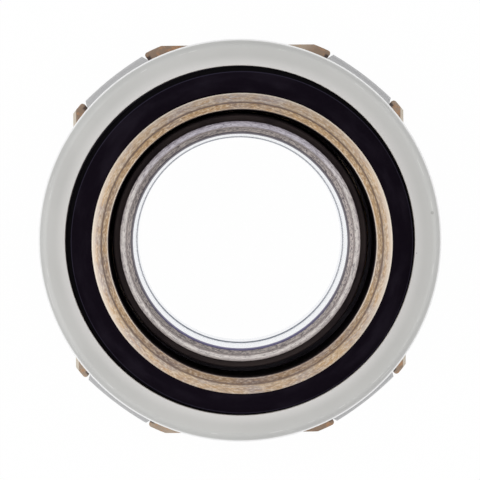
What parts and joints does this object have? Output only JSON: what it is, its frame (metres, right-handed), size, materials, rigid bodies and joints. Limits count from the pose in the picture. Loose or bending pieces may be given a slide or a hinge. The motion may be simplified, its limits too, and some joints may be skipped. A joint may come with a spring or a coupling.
{
  "type": "clutch release bearing",
  "caption": "Self-centring clutch release bearing: crowned thrust ring on a sealed ball bearing that floats in a pressed cover clawed to a fork flange and guide sleeve.",
  "frame": {"origin": "on the axis of the guide sleeve, in the plane of its rear end, which the part stands on", "axes": "+Z along the guide bore towards the thrust nose; +X across the two side flats of the flange"},
  "size_m": [0.076, 0.076, 0.0354],
  "materials": {
    "turned_steel": "turned, grey",
    "flange_steel": "matt brown",
    "cover_steel": "satin light grey",
    "nose_steel": "ground, tan",
    "bearing_steel": "ground, bright",
    "plate_steel": "hardened, grey",
    "spring_steel": "tempered, blue grey",
    "cage_plastic": "natural",
    "seal_rubber": "smooth black",
    "dust_rubber": "dark brown"
  },
  "bodies": {
    "carrier": {"guide_sleeve": "turned_steel", "fork_flange": "flange_steel", "cover": "cover_steel", "dust_ring": "dust_rubber", "thrust_plate": "plate_steel"},
    "spring": {"wave_spring": "spring_steel"},
    "bearing": {"outer_ring": "bearing_steel", "front_seal": "seal_rubber", "rear_seal": "seal_rubber"},
    "nose": {"inner_ring": "nose_steel"},
    "cage": {"ball_cage": "cage_plastic"},
    "ball_01": {"ball_01": "bearing_steel"},
    "ball_02": {"ball_02": "bearing_steel"},
    "ball_03": {"ball_03": "bearing_steel"},
    "ball_04": {"ball_04": "bearing_steel"},
    "ball_05": {"ball_05": "bearing_steel"},
    "ball_06": {"ball_06": "bearing_steel"},
    "ball_07": {"ball_07": "bearing_steel"},
    "ball_08": {"ball_08": "bearing_steel"},
    "ball_09": {"ball_09": "bearing_steel"},
    "ball_10": {"ball_10": "bearing_steel"},
    "ball_11": {"ball_11": "bearing_steel"},
    "ball_12": {"ball_12": "bearing_steel"},
    "ball_13": {"ball_13": "bearing_steel"},
    "ball_14": {"ball_14": "bearing_steel"},
    "ball_15": {"ball_15": "bearing_steel"},
    "ball_16": {"ball_16": "bearing_steel"},
    "ball_17": {"ball_17": "bearing_steel"},
    "ball_18": {"ball_18": "bearing_steel"},
    "ball_19": {"ball_19": "bearing_steel"},
    "ball_20": {"ball_20": "bearing_steel"}
  },
  "joints": [
    {"name": "float_x", "type": "slide", "parent": "carrier", "child": "spring", "axis": [1, 0, 0], "range_m": [-0.00111, 0.00039]},
    {"name": "float_y", "type": "slide", "parent": "spring", "child": "bearing", "axis": [0, 1, 0], "range_m": [-0.00037, 0.00113]},
    {"name": "ring_spin", "type": "hinge", "parent": "bearing", "child": "nose", "pos_m": [0.00036, -0.00038, 0], "axis": [0, 0, 1], "continuous": true},
    {"name": "cage_orbit", "type": "hinge", "parent": "bearing", "child": "cage", "pos_m": [0.00036, -0.00038, 0], "axis": [0, 0, 1], "continuous": true},
    {"name": "ball_01_roll", "type": "hinge", "parent": "cage", "child": "ball_01", "pos_m": [0.03044, -0.00038, 0.01499], "axis": [0.4226, 0, 0.9063], "continuous": true},
    {"name": "ball_02_roll", "type": "hinge", "parent": "cage", "child": "ball_02", "pos_m": [0.02897, 0.00892, 0.01499], "axis": [0.4019, 0.1306, 0.9063], "continuous": true},
    {"name": "ball_03_roll", "type": "hinge", "parent": "cage", "child": "ball_03", "pos_m": [0.0247, 0.0173, 0.01499], "axis": [0.3419, 0.2484, 0.9063], "continuous": true},
    {"name": "ball_04_roll", "type": "hinge", "parent": "cage", "child": "ball_04", "pos_m": [0.01804, 0.02396, 0.01499], "axis": [0.2484, 0.3419, 0.9063], "continuous": true},
    {"name": "ball_05_roll", "type": "hinge", "parent": "cage", "child": "ball_05", "pos_m": [0.00966, 0.02823, 0.01499], "axis": [0.1306, 0.4019, 0.9063], "continuous": true},
    {"name": "ball_06_roll", "type": "hinge", "parent": "cage", "child": "ball_06", "pos_m": [0.00036, 0.0297, 0.01499], "axis": [0, 0.4226, 0.9063], "continuous": true},
    {"name": "ball_07_roll", "type": "hinge", "parent": "cage", "child": "ball_07", "pos_m": [-0.00894, 0.02823, 0.01499], "axis": [-0.1306, 0.4019, 0.9063], "continuous": true},
    {"name": "ball_08_roll", "type": "hinge", "parent": "cage", "child": "ball_08", "pos_m": [-0.01732, 0.02396, 0.01499], "axis": [-0.2484, 0.3419, 0.9063], "continuous": true},
    {"name": "ball_09_roll", "type": "hinge", "parent": "cage", "child": "ball_09", "pos_m": [-0.02398, 0.0173, 0.01499], "axis": [-0.3419, 0.2484, 0.9063], "continuous": true},
    {"name": "ball_10_roll", "type": "hinge", "parent": "cage", "child": "ball_10", "pos_m": [-0.02825, 0.00892, 0.01499], "axis": [-0.4019, 0.1306, 0.9063], "continuous": true},
    {"name": "ball_11_roll", "type": "hinge", "parent": "cage", "child": "ball_11", "pos_m": [-0.02973, -0.00038, 0.01499], "axis": [-0.4226, 0, 0.9063], "continuous": true},
    {"name": "ball_12_roll", "type": "hinge", "parent": "cage", "child": "ball_12", "pos_m": [-0.02825, -0.00968, 0.01499], "axis": [-0.4019, -0.1306, 0.9063], "continuous": true},
    {"name": "ball_13_roll", "type": "hinge", "parent": "cage", "child": "ball_13", "pos_m": [-0.02398, -0.01806, 0.01499], "axis": [-0.3419, -0.2484, 0.9063], "continuous": true},
    {"name": "ball_14_roll", "type": "hinge", "parent": "cage", "child": "ball_14", "pos_m": [-0.01732, -0.02472, 0.01499], "axis": [-0.2484, -0.3419, 0.9063], "continuous": true},
    {"name": "ball_15_roll", "type": "hinge", "parent": "cage", "child": "ball_15", "pos_m": [-0.00894, -0.02899, 0.01499], "axis": [-0.1306, -0.4019, 0.9063], "continuous": true},
    {"name": "ball_16_roll", "type": "hinge", "parent": "cage", "child": "ball_16", "pos_m": [0.00036, -0.03046, 0.01499], "axis": [0, -0.4226, 0.9063], "continuous": true},
    {"name": "ball_17_roll", "type": "hinge", "parent": "cage", "child": "ball_17", "pos_m": [0.00966, -0.02899, 0.01499], "axis": [0.1306, -0.4019, 0.9063], "continuous": true},
    {"name": "ball_18_roll", "type": "hinge", "parent": "cage", "child": "ball_18", "pos_m": [0.01804, -0.02472, 0.01499], "axis": [0.2484, -0.3419, 0.9063], "continuous": true},
    {"name": "ball_19_roll", "type": "hinge", "parent": "cage", "child": "ball_19", "pos_m": [0.0247, -0.01806, 0.01499], "axis": [0.3419, -0.2484, 0.9063], "continuous": true},
    {"name": "ball_20_roll", "type": "hinge", "parent": "cage", "child": "ball_20", "pos_m": [0.02897, -0.00968, 0.01499], "axis": [0.4019, -0.1306, 0.9063], "continuous": true}
  ],
  "couplings": [
    {"joint": "cage_orbit", "follows": "ring_spin", "ratio": 0.45218},
    {"joint": "ball_01_roll", "follows": "ring_spin", "ratio": -4.6944},
    {"joint": "ball_02_roll", "follows": "ring_spin", "ratio": -4.6944},
    {"joint": "ball_03_roll", "follows": "ring_spin", "ratio": -4.6944},
    {"joint": "ball_04_roll", "follows": "ring_spin", "ratio": -4.6944},
    {"joint": "ball_05_roll", "follows": "ring_spin", "ratio": -4.6944},
    {"joint": "ball_06_roll", "follows": "ring_spin", "ratio": -4.6944},
    {"joint": "ball_07_roll", "follows": "ring_spin", "ratio": -4.6944},
    {"joint": "ball_08_roll", "follows": "ring_spin", "ratio": -4.6944},
    {"joint": "ball_09_roll", "follows": "ring_spin", "ratio": -4.6944},
    {"joint": "ball_10_roll", "follows": "ring_spin", "ratio": -4.6944},
    {"joint": "ball_11_roll", "follows": "ring_spin", "ratio": -4.6944},
    {"joint": "ball_12_roll", "follows": "ring_spin", "ratio": -4.6944},
    {"joint": "ball_13_roll", "follows": "ring_spin", "ratio": -4.6944},
    {"joint": "ball_14_roll", "follows": "ring_spin", "ratio": -4.6944},
    {"joint": "ball_15_roll", "follows": "ring_spin", "ratio": -4.6944},
    {"joint": "ball_16_roll", "follows": "ring_spin", "ratio": -4.6944},
    {"joint": "ball_17_roll", "follows": "ring_spin", "ratio": -4.6944},
    {"joint": "ball_18_roll", "follows": "ring_spin", "ratio": -4.6944},
    {"joint": "ball_19_roll", "follows": "ring_spin", "ratio": -4.6944},
    {"joint": "ball_20_roll", "follows": "ring_spin", "ratio": -4.6944}
  ]
}
